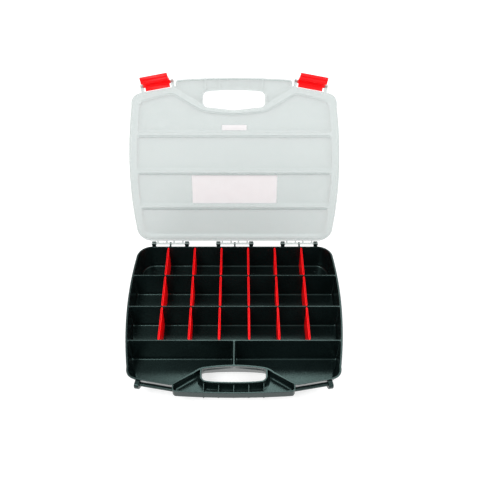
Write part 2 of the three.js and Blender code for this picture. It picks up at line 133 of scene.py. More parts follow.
def trayOutline():
    inner, outer = (fromBack(*caseSize[k]) for k in ("slantInner", "slantOuter"))
    front = [fromBack(x, 267 + 4.5 * (x / 50) ** 2) for x in range(0, 46, 5)]
    turn = bezier(front[-1], fromBack(56, 272), fromBack(63, 279.3), 6)[1:]
    elbow = bezier(fromBack(94, 298.8), inner, fromBack(104, 301), 4)
    sideStart = (sideX(backY - 268), backY - 268)
    corner = bezier(outer, (sideStart[0] + 0.6, backY - 288.5), sideStart, 12)
    sideEnd = wallBackY - caseSize["backCorner"]
    side = [sideStart[1] + (sideEnd - sideStart[1]) * i / 40 for i in range(1, 40)]
    cornerX = sideX(sideEnd) - caseSize["backCorner"]
    back = arc(cornerX, sideEnd, caseSize["backCorner"], 0, math.pi / 2, 16)
    return mirrored(front + turn + elbow + corner + [(sideX(y), y) for y in side] + back)


# The whole front wall leans back towards its foot, which makes room for fingers behind the handle.
def leaned(points, z):
    share = frontLean * max(0, 1 - z / rimZ)
    return [(x, y + share * smoothStep(backY - y, 228, 275)) for x, y in points]


handleSize = {"half": 98, "front": 316, "depth": 18, "wall": 2.2, "ribPitch": 24, "ribs": 5,
              "pipeHeight": 12, "pipeFlare": 6}


def handleOutline(reachBack=0):
    frontY = handleSize["front"]
    front = [fromBack(x, frontY - 3.5 * (x / 98) ** 2) for x in range(0, 88, 8)]
    end = arc(handleSize["half"] - 6, backY - frontY + 9.2, 6, -math.pi / 2.2, 0, 6)
    back = [fromBack(x, distance - reachBack) for x, distance in ((98, 297), (60, 271), (48, 262))]
    return mirrored(front + end + back)


def holeOutline(grow=0):
    front = [fromBack(x, 295.5 - 1.5 * (x / 40) ** 2) for x in range(0, 37, 6)]
    end = arc(42, backY - 283.5, 10, -math.pi / 2.6, 0, 7) + arc(44, backY - 272, 8, 0, math.pi / 2, 7)
    return inset(mirrored(front + end + [fromBack(0, 259)]), -grow)


# ---------- meshes

def makeObject(name, vertices, faces):
    mesh = bpy.data.meshes.new(name)
    mesh.from_pydata([Vector(v) * mm for v in vertices], [], faces)
    mesh.validate()
    made = bpy.data.objects.new(name, mesh)
    bpy.context.scene.collection.objects.link(made)
    return made


# A closed shape through outlines with the same number of points; levels are (z, outline), low to high.
def loft(name, levels):
    count = len(levels[0][1])
    vertices = [(x, y, z) for z, points in levels for x, y in points]
    faces = [list(reversed(range(count)))]
    for level in range(len(levels) - 1):
        low = level * count
        for i in range(count):
            j = (i + 1) % count
            faces.append([low + i, low + j, low + count + j, low + count + i])
    top = (len(levels) - 1) * count
    faces.append([top + i for i in range(count)])
    return makeObject(name, vertices, faces)


def boxObject(name, low, high):
    outline = [(low[0], low[1]), (high[0], low[1]), (high[0], high[1]), (low[0], high[1])]
    return loft(name, [(low[2], outline), (high[2], outline)])


# A section of (across, up) points run along one axis: "X" runs (y, z) along X, "Y" runs (x, z) along Y.
def runAlong(name, axis, section, low, high, roundEnds=0):
    steps = 3 if roundEnds else 0
    stops = []
    for i in range(steps + 1):
        t = math.pi / 2 * i / steps if steps else 0
        stops.append((roundEnds * (1 - math.sin(t)), roundEnds * (1 - math.cos(t))))
    levels = [(low + along, inset(section, shrink)) for shrink, along in stops]
    levels += [(high - along, inset(section, shrink)) for shrink, along in reversed(stops)]
    made = loft(name, levels)
    # the loft stands on its section: lay it along the axis
    columns = {"X": ((0, 0, 1), (1, 0, 0), (0, 1, 0)), "Y": ((1, 0, 0), (0, 0, -1), (0, 1, 0))}
    turn = Matrix(columns[axis]).to_4x4()
    if axis == "Y":
        made.data.transform(Matrix.Scale(-1, 4, (0, 0, 1)))
        made.data.transform(turn)
        made.data.flip_normals()
    else:
        made.data.transform(turn)
    return made


def applyModifiers(made):
    evaluated = made.evaluated_get(bpy.context.evaluated_depsgraph_get())
    mesh = bpy.data.meshes.new_from_object(evaluated)
    made.modifiers.clear()
    old, made.data = made.data, mesh
    mesh.name = made.name
    bpy.data.meshes.remove(old)
    return made


def removeAll(objects):
    for item in objects:
        bpy.data.objects.remove(item)


# Joins or cuts closed shapes, one operation for all the tools at once.
def combine(made, operation, tools):
    group = bpy.data.collections.new("tools")
    for tool in tools:
        group.objects.link(tool)
    step = made.modifiers.new(operation, "BOOLEAN")
    step.operation = operation
    step.solver = "EXACT"
    step.operand_type = "COLLECTION"
    step.collection = group
    step.use_self = operation == "UNION" or len(tools) > 1
    applyModifiers(made)
    removeAll(tools)
    bpy.data.collections.remove(group)
    return made


def bevelled(made, width, segments=2, angle=35):
    step = made.modifiers.new("edges", "BEVEL")
    step.width = width * mm
    step.segments = segments
    step.limit_method = "ANGLE"
    step.angle_limit = math.radians(angle)
    step.harden_normals = False
    return applyModifiers(made)


# Smooths the curved faces and keeps the flat ones flat.
def shaded(made, angle=32):
    mesh = made.data
    work = bmesh.new()
    work.from_mesh(mesh)
    bmesh.ops.remove_doubles(work, verts=work.verts, dist=2e-6)
    bmesh.ops.dissolve_degenerate(work, dist=1e-6, edges=work.edges)
    for face in work.faces:
        face.smooth = True
    for edge in work.edges:
        edge.smooth = len(edge.link_faces) == 2 and edge.calc_face_angle(3) < math.radians(angle)
    work.to_mesh(mesh)
    work.free()
    step = made.modifiers.new("normals", "WEIGHTED_NORMAL")
    step.keep_sharp = True
    step.weight = 60
    return applyModifiers(made)


def joined(name, pieces):
    work = bmesh.new()
    for piece in pieces:
        work.from_mesh(piece.data)
    mesh = bpy.data.meshes.new(name)
    work.to_mesh(mesh)
    work.free()
    removeAll(pieces)
    made = bpy.data.objects.new(name, mesh)
    bpy.context.scene.collection.objects.link(made)
    return made


def copied(made, name, matrix=None):
    other = bpy.data.objects.new(name, made.data.copy())
    bpy.context.scene.collection.objects.link(other)
    if matrix is not None:
        other.data.transform(matrix)
        if matrix.determinant() < 0:
            other.data.flip_normals()
    return other


def translation(x, y, z):
    return Matrix.Translation(Vector((x, y, z)) * mm)


mirrorX = Matrix.Scale(-1, 4, (1, 0, 0))


# Something drawn about a slanted front corner: X outwards along it from its middle, Y into the case,
# Z up from the rim.
def slantMatrix():
    inner, outer = (Vector(fromBack(*caseSize[k])) for k in ("slantInner", "slantOuter"))
    along = (outer - inner).normalized()
    middle = (inner + outer) / 2
    turn = Matrix(((along.x, -along.y, 0), (along.y, along.x, 0), (0, 0, 1))).to_4x4()
    return translation(middle.x, middle.y, rimZ) @ turn


# The section is (out from the wall, up from the rim).
def alongSlant(name, section, low, high, roundEnds=0):
    flipped = [(-out, up) for out, up in reversed(section)]
    made = runAlong(name, "X", flipped, low, high, roundEnds)
    made.data.transform(slantMatrix())
    return made


# ---------- nodes

def hexColor(text, alpha=1):
    parts = [int(text[i:i + 2], 16) / 255 for i in (1, 3, 5)]
    linear = [c / 12.92 if c <= 0.04045 else ((c + 0.055) / 1.055) ** 2.4 for c in parts]
    return (*linear, alpha)


# Adds one node; settings are attributes, inputs are values or (node, output) links.
def addNode(tree, kind, settings=None, **inputs):
    node = tree.nodes.new(kind)
    for key, value in (settings or {}).items():
        setattr(node, key, value)
    for key, value in inputs.items():
        name = key.replace("_", " ")
        socket = node.inputs[int(key[1:])] if key[0] == "n" and key[1:].isdigit() else node.inputs[name]
        if isinstance(value, tuple) and len(value) == 2 and hasattr(value[0], "outputs"):
            tree.links.new(value[0].outputs[value[1]], socket)
        else:
            socket.default_value = value
    return node


def newMaterial(name):
    material = bpy.data.materials.new(name)
    material.use_nodes = True
    tree = material.node_tree
    tree.nodes.clear()
    return material, tree


def finishMaterial(tree, shader):
    out = addNode(tree, "ShaderNodeOutputMaterial")
    tree.links.new(shader.outputs[0], out.inputs["Surface"])


mouldedBlack = {
    "dark": "#020404", "light": "#101a1a", "roughness": (0.20, 0.34), "shine": 0.42,
    "glint": "#c8f4ee", "cloudMm": 60, "grainMm": 0.9, "bump": 0.05, "bumpMm": 0.05,
}
mouldedRed = {
    "dark": "#f20004", "light": "#ff0410", "roughness": (0.32, 0.46), "shine": 0.18,
    "glint": "#ffffff", "cloudMm": 25, "grainMm": 0.8, "bump": 0.05, "bumpMm": 0.05,
}


# Injection-moulded polypropylene, satin from the tool: an even colour with faint flow clouds, and a fine
# grain that breaks up the gloss.
def mouldedPlastic(name, look):
    material, tree = newMaterial(name)
    place = addNode(tree, "ShaderNodeTexCoord")
    clouds = addNode(tree, "ShaderNodeTexNoise", {"noise_dimensions": "3D"},
                     Vector=(place, "Object"), Scale=1000 / look["cloudMm"], Detail=3.0, Roughness=0.5)
    grain = addNode(tree, "ShaderNodeTexNoise", {"noise_dimensions": "3D"},
                    Vector=(place, "Object"), Scale=1000 / look["grainMm"], Detail=2.0, Roughness=0.6)
    color = addNode(tree, "ShaderNodeMix", {"data_type": "RGBA"}, Factor=(clouds, "Fac"))
    color.inputs[6].default_value = hexColor(look["dark"])
    color.inputs[7].default_value = hexColor(look["light"])
    low, high = look["roughness"]
    gloss = addNode(tree, "ShaderNodeMapRange", None, Value=(grain, "Fac"))
    gloss.inputs["From Min"].default_value = 0.3
    gloss.inputs["From Max"].default_value = 0.7
    gloss.inputs["To Min"].default_value = low
    gloss.inputs["To Max"].default_value = high
    bump = addNode(tree, "ShaderNodeBump", None, Strength=look["bump"], Distance=look["bumpMm"] * mm,
                   Height=(grain, "Fac"))
    shader = addNode(tree, "ShaderNodeBsdfPrincipled", None, Roughness=(gloss, "Result"),
                     Normal=(bump, "Normal"), IOR=1.49)
    shader.inputs["Specular IOR Level"].default_value = look["shine"]
    shader.inputs["Specular Tint"].default_value = hexColor(look["glint"])
    tree.links.new(color.outputs[2], shader.inputs["Base Color"])
    finishMaterial(tree, shader)
    return material


frostedClear = {
    "tint": "#8e9c99", "shade": "#889794", "roughness": (0.22, 0.36), "cloudMm": 70, "grainMm": 1.2,
    "bumpMm": 0.05, "bump": 0.08, "cover": 0.42,
}


# Natural polypropylene for see-through lids: milky and slightly cool, so that each skin covers less
# than half of what lies behind it, with a soft frosted sheen and faint flow clouds.
def clearPlastic():
    look = frostedClear
    material, tree = newMaterial("natural_polypropylene_frosted")
    place = addNode(tree, "ShaderNodeTexCoord")
    clouds = addNode(tree, "ShaderNodeTexNoise", None, Vector=(place, "Object"),
                     Scale=1000 / look["cloudMm"], Detail=3.0, Roughness=0.55)
    grain = addNode(tree, "ShaderNodeTexNoise", None, Vector=(place, "Object"),
                    Scale=1000 / look["grainMm"], Detail=2.0, Roughness=0.5)
    color = addNode(tree, "ShaderNodeMix", {"data_type": "RGBA"}, Factor=(clouds, "Fac"))
    color.inputs[6].default_value = hexColor(look["shade"])
    color.inputs[7].default_value = hexColor(look["tint"])
    low, high = look["roughness"]
    gloss = addNode(tree, "ShaderNodeMapRange", None, Value=(clouds, "Fac"))
    gloss.inputs["To Min"].default_value = low
    gloss.inputs["To Max"].default_value = high
    bump = addNode(tree, "ShaderNodeBump", None, Strength=look["bump"], Distance=look["bumpMm"] * mm,
                   Height=(grain, "Fac"))
    shader = addNode(tree, "ShaderNodeBsdfPrincipled", None, Roughness=(gloss, "Result"),
                     Normal=(bump, "Normal"), IOR=1.49)
    shader.inputs["Alpha"].default_value = look["cover"]
    tree.links.new(color.outputs[2], shader.inputs["Base Color"])
    finishMaterial(tree, shader)
    return material


coatedPaper = {"white": "#d3d0d1", "shade": "#cecacb", "fibreMm": 0.7, "cloudMm": 18}


# Coated label paper: a flat white with faint mottling from its fibres and a soft, dry sheen.
def labelPaper():
    look = coatedPaper
    material, tree = newMaterial("coated_label_paper")
    place = addNode(tree, "ShaderNodeTexCoord")
    fibres = addNode(tree, "ShaderNodeTexNoise", None, Vector=(place, "Object"),
                     Scale=1000 / look["fibreMm"], Detail=4.0, Roughness=0.7)
    clouds = addNode(tree, "ShaderNodeTexNoise", None, Vector=(place, "Object"),
                     Scale=1000 / look["cloudMm"], Detail=2.0, Roughness=0.5)
    color = addNode(tree, "ShaderNodeMix", {"data_type": "RGBA"}, Factor=(clouds, "Fac"))
    color.inputs[6].default_value = hexColor(look["shade"])
    color.inputs[7].default_value = hexColor(look["white"])
    bump = addNode(tree, "ShaderNodeBump", None, Strength=0.08, Distance=0.05 * mm, Height=(fibres, "Fac"))
    shader = addNode(tree, "ShaderNodeBsdfPrincipled", None, Roughness=0.55, Normal=(bump, "Normal"))
    tree.links.new(color.outputs[2], shader.inputs["Base Color"])
    finishMaterial(tree, shader)
    return material


blackPlastic = mouldedPlastic("black_polypropylene_moulded", mouldedBlack)
redPlastic = mouldedPlastic("red_polypropylene_moulded", mouldedRed)
lidPlastic = clearPlastic()
paper = labelPaper()


def finishPiece(made, material, body, slot, *replaced):
    made.data.materials.clear()
    made.data.materials.append(material)
    for face in made.data.polygons:
        face.material_index = 0
    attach(made, body)
    if replaced:
        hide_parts(*replaced)
    return made


# ---------- geometry nodes: one mesh repeated at even steps along a line

def repeatTree(master, material):
    tree = bpy.data.node_groups.new("repeatAlongLine", "GeometryNodeTree")
    face = tree.interface
    face.new_socket("Geometry", in_out="INPUT", socket_type="NodeSocketGeometry")
    kinds = {"Count": "NodeSocketInt", "Start": "NodeSocketVector", "Step": "NodeSocketVector"}
    for name, kind in kinds.items():
        face.new_socket(name, in_out="INPUT", socket_type=kind)
    face.new_socket("Geometry", in_out="OUTPUT", socket_type="NodeSocketGeometry")
    given = addNode(tree, "NodeGroupInput")
    line = addNode(tree, "GeometryNodeMeshLine", {"mode": "OFFSET"}, Count=(given, "Count"),
                   Start_Location=(given, "Start"), Offset=(given, "Step"))
    piece = addNode(tree, "GeometryNodeObjectInfo", {"transform_space": "ORIGINAL"}, Object=master)
    placed = addNode(tree, "GeometryNodeInstanceOnPoints", None, Points=(line, "Mesh"),
                     Instance=(piece, "Geometry"))
    real = addNode(tree, "GeometryNodeRealizeInstances", None, Geometry=(placed, "Instances"))
    coloured = addNode(tree, "GeometryNodeSetMaterial", None, Geometry=(real, "Geometry"), Material=material)
    addNode(tree, "NodeGroupOutput", None, Geometry=(coloured, "Geometry"))
    return tree


def repeated(name, master, count, start, step, material):
    host = makeObject(name, [(0, 0, 0)], [])
    tree = repeatTree(master, material)
    modifier = host.modifiers.new("repeat", "NODES")
    modifier.node_group = tree
    values = {"Count": count, "Start": Vector(start) * mm, "Step": Vector(step) * mm}
    for item in tree.interface.items_tree:
        if item.item_type == "SOCKET" and item.in_out == "INPUT" and item.name in values:
            modifier[item.identifier] = values[item.name]
    host.update_tag()
    bpy.context.view_layer.update()
    applyModifiers(host)
    bpy.data.objects.remove(master)
    return host


# ---------- tray

traySize = {
    "floor": 2.4, "rimWall": 3.4, "lip": 7, "partitionHalf": 1.2,
    "fillet": 4.6, "underRecess": 0.7,
}


# (height, inset) down the outside of the tray: a rounded foot, a drafted wall and a rolled lip.
def outerProfile():
    foot = []
    for i in range(6):
        t = math.pi / 2 * i / 5
        foot.append((4 * (1 - math.cos(t)), 2 + 2.6 * (1 - math.sin(t))))
    lipZ = rimZ - traySize["lip"]
    lip = [(lipZ, 1.0), (lipZ + 0.5, 0.75), (lipZ + 0.9, 0.15), (lipZ + 1.3, 0)]
    top = [(rimZ - 0.7, 0), (rimZ - 0.3, 0.1), (rimZ - 0.1, 0.3), (rimZ, 0.6)]
    return foot + lip + top


# (height, grow) of a compartment's walls: grow is how much thicker the wall is than at its top.
def pocketProfile():
    floor, fillet = traySize["floor"], traySize["fillet"]
    made = []
    for i in range(6):
        t = math.pi / 2 * i / 5
        made.append((floor + fillet * (1 - math.cos(t)), 0.45 + (fillet - 0.9) * (1 - math.sin(t))))
    made += [(rimZ - 0.7, 0), (rimZ - 0.3, -0.12), (rimZ - 0.08, -0.35), (rimZ + 0.3, -0.9)]
    return made


def rowPocket(row):
    levels = []
    for z, grow in pocketProfile():
        half = traySize["partitionHalf"] + grow
        side = traySize["rimWall"] + grow
        rear = backY - row * rowPitch - half
        front = backY - (row + 1) * rowPitch + half
        r = 2.5
        rearRadius = caseSize["backCorner"] - side if row == 0 else r
        y0, y1 = front + r, rear - rearRadius
        right = [(0, front)] + arc(sideX(y0) - side - r, y0, r, -math.pi / 2, 0, 4)
        right += [(sideX(y) - side, y) for y in (y0 + (y1 - y0) * i / 12 for i in range(1, 12))]
        right += arc(sideX(y1) - side - rearRadius, y1, rearRadius, 0, math.pi / 2, 14)
        right += [(0, rear)]
        levels.append((z, mirrored(right)))
    return loft("pocket", levels)


def frontPocket():
    base = trayOutline()
    rear = backY - 3 * rowPitch
    picked = [i for i in range(len(base) // 2) if base[i][1] < rear - 8 and base[i][0] > 4.9]
    levels = []
    for z, grow in pocketProfile():
        half = traySize["partitionHalf"] + grow
        wall = leaned(inset(base, traySize["rimWall"] + grow), z)
        y1 = rear - half
        frontPoint = wall[picked[0]]
        r = 2.5
        sideWall = sideX(y1 - r) - traySize["rimWall"] - grow
        outline = [wall[i] for i in picked]
        outline += arc(sideWall - r, y1 - r, r, 0, math.pi / 2, 4)
        outline += arc(half + r, y1 - r, r, math.pi / 2, math.pi, 4)
        outline += arc(half + r, frontPoint[1] + r - 0.15, r, math.pi, math.pi * 1.45, 4)
        levels.append((z, outline))
    return loft("pocket", levels)


def handleBlock():
    bottom = rimZ - handleSize["depth"]
    outline = handleOutline()
    body = handleOutline(7)
    levels = []
    for i in range(6):
        t = math.pi / 2 * i / 5
        levels.append((bottom + 4 * (1 - math.cos(t)), inset(body, 0.5 + 3 * (1 - math.sin(t)))))
    levels += [(rimZ - 0.9, body), (rimZ - 0.5, inset(body, 0.1)), (rimZ - 0.3, inset(body, 0.4))]
    block = loft("handle", levels)
    wall = handleSize["wall"]
    floor = bottom + wall
    troughLevels, wallLevels = [], []
    for i in range(9):
        t = math.pi / 2 * i / 8
        z = floor + handleSize["pipeHeight"] * (1 - math.cos(t))
        flare = 1 - math.sin(t)
        troughLevels.append((z, inset(outline, wall + handleSize["pipeFlare"] * flare)))
        wallLevels.append((z, holeOutline(wall + handleSize["pipeFlare"] * flare)))
    wallLevels[0] = (floor - 1, wallLevels[0][1])
    troughLevels += [(rimZ - 0.8, inset(outline, wall)), (rimZ + 0.3, inset(outline, wall - 0.5))]
    wallLevels += [(rimZ - 0.8, holeOutline(wall)), (rimZ + 0.5, holeOutline(wall + 0.4))]
    trough = combine(loft("trough", troughLevels), "DIFFERENCE", [loft("wall", wallLevels)])
    hole = loft("hole", [
        (bottom - 1, holeOutline(0.9)), (bottom + 0.4, holeOutline(0.2)), (bottom + 1, holeOutline()),
        (rimZ - 1, holeOutline()), (rimZ - 0.5, holeOutline(0.15)), (rimZ + 0.3, holeOutline(0.7)),
    ])
    return combine(combine(block, "DIFFERENCE", [trough]), "DIFFERENCE", [hole])


def dividerStations():
    count = caseSize["dividersPerRow"]
    return [(i - (count - 1) / 2) * caseSize["dividerPitch"] for i in range(count)]


# The shallow recess under the tray, inside the ring it stands on.
def underOutline():
    sideFront = backY - 238
    right = [fromBack(x, 224) for x in (0, 25, 50)] + [fromBack(62, 231), fromBack(97, 256)]
    frontSide = sideX(sideFront) - 16
    right += bezier(fromBack(146, 248), (frontSide, backY - 247), (frontSide, sideFront), 6)
    sideEnd = wallBackY - caseSize["backCorner"]
    right += [(sideX(y) - 16, y) for y in (sideFront + (sideEnd - sideFront) * i / 16 for i in range(1, 16))]
    radius = caseSize["backCorner"] - 16
    right += arc(sideX(sideEnd) - 16 - radius, sideEnd, radius, 0, math.pi / 2, 8) + [(0, sideEnd + radius)]
    return mirrored(right)


def trayBody():
    outline = trayOutline()
    shell = loft("tray", [(z, leaned(inset(outline, d), z)) for z, d in outerProfile()])
    combine(shell, "UNION", [handleBlock()])
    right = frontPocket()
    pockets = [rowPocket(row) for row in range(3)] + [right, copied(right, "pocketLeft", mirrorX)]
    for pocket in pockets:
        combine(shell, "DIFFERENCE", [pocket])
    notches = []
    for row in (1, 2):
        y = backY - row * rowPitch
        for x in dividerStations():
            notches.append(boxObject("notch", (x - 1.1, y - 4, rimZ - 4), (x + 1.1, y + 4, rimZ + 1)))
    combine(shell, "DIFFERENCE", [joined("notches", notches)])
    recess = underOutline()
    depth = traySize["underRecess"]
    under = loft("under", [(-1, recess), (0, recess), (depth, inset(recess, depth * 0.8))])
    combine(shell, "DIFFERENCE", [under])
    return shaded(shell)


def makeTray():
    tray = trayBody()
    finishPiece(tray, blackPlastic, "tray", "tray_plastic", "base_tray")
    print("tray:", len(tray.data.polygons), "faces")


railSize = {"thick": 1.0, "reach": 2.8, "backWall": -1.1, "gap": 1.1, "top": 4, "round": 0.35}


# The upright rails that hold the dividers' ends, in pairs on both faces of every cross wall.
def makeRails():
    pieces = []
    low, high = traySize["floor"] - 0.5, rimZ - railSize["top"]
    half = railSize["thick"] / 2
    for row in range(4):
        y = backY - row * rowPitch
        reachBack = railSize["backWall"] if row == 0 else railSize["reach"]
        reachFront = 0.2 if row == 3 else railSize["reach"]
        for side in (-1, 1):
            rail = boxObject("rail", (-half, -reachFront, low), (half, reachBack, high))
            bevelled(rail, railSize["round"], 2)
            start = (dividerStations()[0] + side * (railSize["gap"] + half), y, 0)
            count, step = caseSize["dividersPerRow"], (caseSize["dividerPitch"], 0, 0)
            pieces.append(repeated("rails", rail, count, start, step, blackPlastic))
    rails = shaded(joined("tray_divider_rails", pieces))
    finishPiece(rails, blackPlastic, "tray", "tray_plastic")
    print("rails:", len(rails.data.polygons), "faces")


# Five ribs across the handle's trough.
def makeHandleRibs():
    bottom = rimZ - handleSize["depth"]
    rib = boxObject("rib", (-0.8, backY - 315.2, bottom + 1), (0.8, backY - 294.6, rimZ - 3.4))
    bevelled(rib, 0.4, 2)
    start = (-2 * handleSize["ribPitch"], 0, 0)
    step = (handleSize["ribPitch"], 0, 0)
    ribs = repeated("tray_handle_ribs", rib, handleSize["ribs"], start, step, blackPlastic)
    finishPiece(shaded(ribs), blackPlastic, "tray", "tray_plastic")


catchSize = {"earLow": 23.6, "earHigh": 31.4}


# The bar each latch snaps under, with an ear that guards the latch's outer end.
def makeCatches():
    section = [(-1.5, -13), (3.2, -11.2), (5, -10.4), (5.5, -9), (5.5, -6.5), (4.6, -5), (3, -5),
               (2.4, -7.4), (-1.5, -7.4)]
    ear = [(-6, -22), (3, -19.4), (8, -15.5), (10, -11), (10, -6), (8, -3), (-3, -2)]
    bar = bevelled(alongSlant("bar", rounded(section, 0.9, 3), -30.5, catchSize["earLow"] + 1), 0.3, 2)
    guard = alongSlant("ear", rounded(ear, 3, 4), catchSize["earLow"], catchSize["earHigh"])
    bevelled(guard, 1.6, 4)
    right = joined("catch", [bar, guard])
    left = copied(right, "catchLeft", mirrorX)
    catches = shaded(joined("tray_latch_catches", [right, left]))
    finishPiece(catches, blackPlastic, "tray", "tray_plastic")


hingeSize = {"sets": 3, "setPitch": 124, "clipOffset": 31.6, "clipWidth": 8, "cradleWidth": 3,
             "clipInner": 2.35, "clipOuter": 4.4, "rod": 2, "mouth": math.pi / 3.4}


def hingeSections():
    y, z = hingePoint.y, hingePoint.z
    start, end = math.pi / 2 + hingeSize["mouth"], math.pi * 5 / 2 - hingeSize["mouth"]
    ring = arc(y, z, hingeSize["clipOuter"], start, end, 26)
    ring += list(reversed(arc(y, z, hingeSize["clipInner"], start, end, 26)))
    bracket = [(wallBackY - 2, z - 16), (wallBackY - 0.6, z - 16), (y + 2.5, z - 4), (y - 2.4, z - 2.9),
               (wallBackY - 2, z - 2)]
    cradle = list(reversed(arc(y, z, hingeSize["clipInner"], math.pi, 2 * math.pi, 14)))
    cradle += [(wallBackY - 2, z - 2), (wallBackY - 2, z - 16), (wallBackY - 0.6, z - 16), (y + 3, z - 5),
               (y + 4.4, z - 2), (y + 4.4, z)]
    return ring, bracket, cradle


# Each hinge is a pair of open clips that grip the lid's rod, and a thin cradle between them.
def makeHinges():
    ring, bracket, cradle = hingeSections()
    half = hingeSize["clipWidth"] / 2
    pieces = []
    for offset in (-hingeSize["clipOffset"], hingeSize["clipOffset"]):
        pieces.append(bevelled(runAlong("clip", "X", ring, offset - half, offset + half), 0.35, 2, 50))
        block = runAlong("bracket", "X", bracket, offset - half + 0.4, offset + half - 0.4)
        pieces.append(bevelled(block, 0.3, 2))
    width = hingeSize["cradleWidth"] / 2
    pieces.append(bevelled(runAlong("cradle", "X", cradle, -width, width), 0.25, 2, 50))
    master = joined("hingeSet", pieces)
    start, step = (-hingeSize["setPitch"], 0, 0), (hingeSize["setPitch"], 0, 0)
    clips = repeated("tray_hinge_clips", master, hingeSize["sets"], start, step, blackPlastic)
    finishPiece(shaded(clips), blackPlastic, "tray", "tray_plastic")


# Two round buttons in the back row's corners, where the moulding was pushed off its tool.
def makeFloorButtons():
    floor = traySize["floor"]
    profile = [(0, 4.8), (0.8, 4.6), (1.2, 4.3), (1.4, 3.8), (1.4, 2.6), (0.9, 2.2), (0.9, 0.02)]
    made = []
    for side in (-1, 1):
        rings = [(floor - 0.3 + up, arc(side * 158, backY - 15, radius, 0, math.tau * 47 / 48, 47))
                 for up, radius in profile]
        made.append(loft("button", rings))
    finishPiece(shaded(joined("tray_floor_buttons", made)), blackPlastic, "tray", "tray_plastic")


# ---------- dividers

dividerSize = {"thick": 1.6, "bead": 3.6, "beadHeight": 3.6, "top": 0.5, "gap": 0.3, "railReach": 2.8}


# A thin plate with a rolled bead along its top; the ends slide between the rails.
def dividerMaster():
    top = rimZ - dividerSize["top"]
    edge = traySize["partitionHalf"] + dividerSize["gap"]
    floor = traySize["floor"]
    ends = [(edge + 2.8, floor + 0.3), (edge + 1.3, floor + 1.4), (edge + 0.6, floor + 5), (edge, top)]
    plate = [(-rowPitch + reach, z) for reach, z in ends] + [(-reach, z) for reach, z in reversed(ends)]
    plate = list(reversed(plate))
    half = dividerSize["thick"] / 2
    sheet = bevelled(runAlong("plate", "X", plate, -half, half), 0.3, 2, 60)
    w, h = dividerSize["bead"] / 2, dividerSize["beadHeight"]
    section = [(-w * 0.55, top - h), (w * 0.55, top - h), (w, top - h + 1.2), (w, top - 0.2), (-w, top - 0.2),
               (-w, top - h + 1.2)]
    reach = dividerSize["railReach"] + 0.6
    bead = runAlong("bead", "Y", rounded(section, 1.1, 4), -rowPitch + reach, -reach, 0.8)
    bead.data.transform(translation(0, 0, 0.2))
    return shaded(joined("divider", [sheet, bead]), 40)


def makeDividers():
    master = dividerMaster()
    for row, rowName in enumerate(("back", "middle", "front")):
        for column, x in enumerate(dividerStations()):
            node = f"divider_{rowName}_{column + 1}"
            piece = copied(master, node + "_moulding", translation(x, backY - row * rowPitch, 0))
            finishPiece(piece, redPlastic, node, "divider_plastic", node)
    removeAll([master])
    print("dividers: 18")


# ---------- lid, drawn closed, then turned open about the hinge

lidSize = {
    "gap": 0.3, "plate": 2.4, "edge": 5, "panelHeight": 8.7, "panelInset": 14, "panelRadius": 5,
    "panelWall": 1.7, "panelDraft": 1.5, "handleHeight": 10,
}
lidZ = rimZ + lidSize["gap"]
openLid = (Matrix.Translation(hingePoint * mm) @ Matrix.Rotation(lidTurn, 4, "X")
           @ Matrix.Translation(-hingePoint * mm))


def panelOutline(row):
    side = lidSize["panelInset"]
    radius = lidSize["panelRadius"]
    rear = backY - 9 if row == 0 else backY - row * rowPitch - 4
    rearRadius = caseSize["backCorner"] - side if row == 0 else radius
    if row < 3:
        sideFront = backY - (row + 1) * rowPitch + 4 + radius
        right = [(0, sideFront - radius)]
        right += arc(sideX(sideFront) - side - radius, sideFront, radius, -math.pi / 2, 0, 6)
    else:
        sideFront = backY - 262
        right = [fromBack(x, 253 + 4.5 * (x / 50) ** 2) for x in range(0, 46, 9)]
        right += bezier(fromBack(45, 256.6), fromBack(58, 259.5), fromBack(68.5, 266), 5)[1:]
        right += bezier(fromBack(98, 285.3), fromBack(104, 289), fromBack(110, 287.6), 4)
        frontSide = sideX(sideFront) - side
        right += bezier(fromBack(151, 277.5), (frontSide, backY - 275), (frontSide, sideFront), 8)
    sideRear = rear - rearRadius
    places = [sideFront + (sideRear - sideFront) * i / 12 for i in range(1, 12)]
    right += [(sideX(y) - side, y) for y in places]
    right += arc(sideX(sideRear) - side - rearRadius, sideRear, rearRadius, 0, math.pi / 2, 8)
    right += [(0, rear)]
    return mirrored(right)


# A raised panel, or the recess under it, with drafted sides and rounded edges.
def panelShape(row, grow, low, high, softness):
    outline = panelOutline(row)
    draft = lidSize["panelDraft"]
    levels = [(low, inset(outline, -grow))]
    shoulder = high - softness
    for i in range(5):
        t = math.pi / 2 * i / 4
        z = shoulder + softness * math.sin(t)
        along = draft * (z - low) / (high - low)
        levels.append((z, inset(outline, along - grow + softness * (1 - math.cos(t)))))
    return loft("panel", levels)


def lidOutline():
    tray = trayOutline()
    handle = handleOutline()
    right = [p for p in handle if p[0] >= 0 and p[1] < backY - 303]
    right.sort(key=lambda p: (p[0] if p[1] < backY - 307 else 200 - p[1]))
    slantStart = fromBack(98, 302.4)
    right += [slantStart]
    right += [p for p in tray if p[0] > 100 and p[1] < 400]
    return mirrored(right)


def lidShellLevels(outline):
    edge = lidSize["edge"]
    profile = [(0, 0.9), (0.25, 0.6), (0.8, 0.5), (edge - 1, 0.8), (edge - 0.35, 1.0), (edge, 1.5)]
    return [(lidZ + up, inset(outline, distance)) for up, distance in profile]


def latchLugs():
    section = rounded([(-3, 0.5), (8, 0.5), (11.4, 2.6), (12.2, 6), (11.2, 9), (8.2, 10.2), (5, 9.4), (1, 6),
                       (-3, 6)], 1.4, 3)
    lugs = [alongSlant("lug", section, -28.4, -23.6), alongSlant("lug", section, 23.6, 28.4)]
    for lug in lugs:
        bevelled(lug, 0.5, 2, 60)
    bore = alongSlant("bore", arc(8.2, 6, 2, 0, math.tau * 23 / 24, 23), -30, 30)
    return lugs, bore


